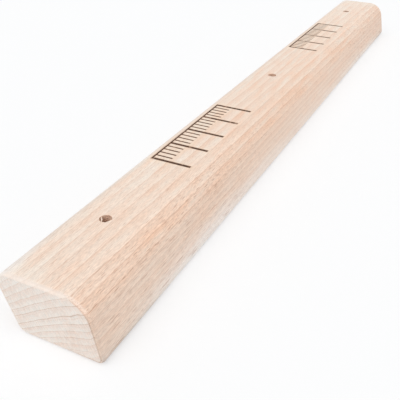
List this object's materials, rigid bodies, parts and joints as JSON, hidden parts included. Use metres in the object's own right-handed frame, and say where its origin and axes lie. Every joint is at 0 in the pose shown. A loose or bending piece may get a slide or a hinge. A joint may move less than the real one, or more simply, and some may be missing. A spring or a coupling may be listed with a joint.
{
  "type": "campus board rung",
  "caption": "Solid beech rung for a campus board, with an incut edge on one side, a rounded sloping edge on the other and a row of plain screw holes through its face.",
  "frame": {"origin": "on the back face, under the middle of the bar's length and of its overall width; the bar lies on its back", "axes": "+X along the bar; +Z out of the back face, through the bar and out of its front face; +Y across the bar towards the incut edge, which is the upper edge when the rung is on the board"},
  "size_m": [0.6, 0.0568, 0.035],
  "materials": {
    "beech": "fine sanded, raw, matt"
  },
  "bodies": {
    "root": {"rung": "beech"}
  },
  "joints": []
}
